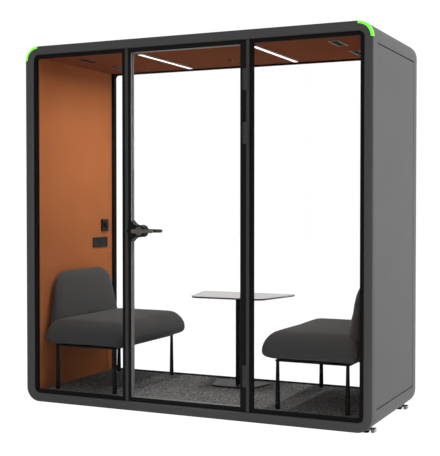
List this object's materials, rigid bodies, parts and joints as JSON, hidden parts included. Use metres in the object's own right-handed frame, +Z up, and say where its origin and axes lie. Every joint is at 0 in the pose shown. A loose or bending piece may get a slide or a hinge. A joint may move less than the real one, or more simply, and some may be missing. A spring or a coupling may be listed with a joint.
{
  "type": "acoustic office pod",
  "caption": "Free-standing felt-lined acoustic office pod with rounded frames, glazed front and rear, a hinged glass door, ceiling lights and fans, upholstered benches and a pedestal table.",
  "frame": {"origin": "on the ground, under the middle of the whole object, counting the lever that stands 30 mm proud of the front", "axes": "+Z up, -Y towards the user in front of the door, +X to the right seen from the front"},
  "size_m": [2.3, 1, 2.3],
  "materials": {
    "graphite_paint": "matt powder coat",
    "panel_paint": "matt powder coat",
    "black_rubber": "matt",
    "black_metal": "satin",
    "green_light": "translucent, lit from behind",
    "orange_felt": "pressed felt",
    "carpet": "speckled loop pile",
    "plywood": "raw",
    "clear_glass": "clear, polished",
    "lever_metal": "satin",
    "alloy": "satin",
    "opal_plastic": "opal, lit from behind",
    "black_plastic": "fine texture",
    "upholstery": "woven wool",
    "white_laminate": "smooth laminate"
  },
  "bodies": {
    "pod": {"front_frame": "graphite_paint", "left_corner_light": "green_light", "right_corner_light": "green_light", "rear_frame": "graphite_paint", "roof_shell": "graphite_paint", "base_shell": "graphite_paint", "left_side_panel": "panel_paint", "right_side_panel": "panel_paint", "left_wall_lining": "orange_felt", "right_wall_lining": "orange_felt", "ceiling_lining": "orange_felt", "floor_deck": "plywood", "carpet": "carpet", "left_mullion": "graphite_paint", "right_mullion": "graphite_paint", "left_gasket": "black_rubber", "left_front_glass": "clear_glass", "right_gasket": "black_rubber", "right_front_glass": "clear_glass", "rear_glazing_frame": "black_rubber", "rear_left_glass": "clear_glass", "rear_right_glass": "clear_glass", "upper_hinge_frame_leaf": "black_metal", "middle_hinge_frame_leaf": "black_metal", "lower_hinge_frame_leaf": "black_metal", "left_lamp_channel": "alloy", "left_lamp_cover": "opal_plastic", "right_lamp_channel": "alloy", "right_lamp_cover": "opal_plastic", "front_left_vent": "alloy", "rear_left_vent": "alloy", "front_right_vent": "alloy", "rear_right_vent": "alloy", "presence_sensor": "black_plastic", "control_box": "black_plastic", "socket_plate": "black_plastic", "power_inlet": "black_plastic", "left_bench_frame": "black_metal", "left_seat_cushion": "upholstery", "left_back_cushion": "upholstery", "right_bench_frame": "black_metal", "right_seat_cushion": "upholstery", "right_back_cushion": "upholstery", "table_top": "white_laminate", "table_stand": "black_metal"},
    "door": {"door_frame": "black_metal", "door_glass": "clear_glass", "lock_case": "black_metal", "upper_hinge_door_leaf": "black_metal", "middle_hinge_door_leaf": "black_metal", "lower_hinge_door_leaf": "black_metal"},
    "lever_set": {"lever": "lever_metal"},
    "latch": {"latch_bolt": "alloy"},
    "knob": {"control_knob": "black_plastic"},
    "left_fan": {"left_fan_rotor": "black_plastic"},
    "right_fan": {"right_fan_rotor": "black_plastic"},
    "foot_front_left": {"front_left_foot": "black_rubber"},
    "foot_front_right": {"front_right_foot": "black_rubber"},
    "foot_rear_left": {"rear_left_foot": "black_rubber"},
    "foot_rear_right": {"rear_right_foot": "black_rubber"}
  },
  "joints": [
    {"name": "door_swing", "type": "hinge", "parent": "pod", "child": "door", "pos_m": [0.3835, -0.461, 1], "axis": [0, 0, 1], "range_deg": [0, 110]},
    {"name": "lever_turn", "type": "hinge", "parent": "door", "child": "lever_set", "pos_m": [-0.321, -0.434, 1.128], "axis": [0, 1, 0], "range_deg": [0, 45], "stiffness_Nm_per_rad": 1.5, "springref_deg": -34.38},
    {"name": "latch_slide", "type": "slide", "parent": "door", "child": "latch", "axis": [1, 0, 0], "range_m": [0, 0.008]},
    {"name": "knob_turn", "type": "hinge", "parent": "pod", "child": "knob", "pos_m": [-1.05, 0.345, 1.143], "axis": [1, 0, 0], "range_deg": [-135, 135]},
    {"name": "left_fan_spin", "type": "hinge", "parent": "pod", "child": "left_fan", "pos_m": [-0.855, -0.188, 2.26], "axis": [0, 0, 1], "continuous": true},
    {"name": "right_fan_spin", "type": "hinge", "parent": "pod", "child": "right_fan", "pos_m": [0.855, -0.188, 2.26], "axis": [0, 0, 1], "continuous": true},
    {"name": "front_left_foot_turn", "type": "hinge", "parent": "pod", "child": "foot_front_left", "pos_m": [-1.07, -0.32, 0.01], "axis": [0, 0, 1], "continuous": true},
    {"name": "front_right_foot_turn", "type": "hinge", "parent": "pod", "child": "foot_front_right", "pos_m": [1.07, -0.32, 0.01], "axis": [0, 0, 1], "continuous": true},
    {"name": "rear_left_foot_turn", "type": "hinge", "parent": "pod", "child": "foot_rear_left", "pos_m": [-1.07, 0.396, 0.01], "axis": [0, 0, 1], "continuous": true},
    {"name": "rear_right_foot_turn", "type": "hinge", "parent": "pod", "child": "foot_rear_right", "pos_m": [1.07, 0.396, 0.01], "axis": [0, 0, 1], "continuous": true}
  ],
  "couplings": [
    {"joint": "latch_slide", "follows": "lever_turn", "m_per_rad": 0.010186}
  ]
}
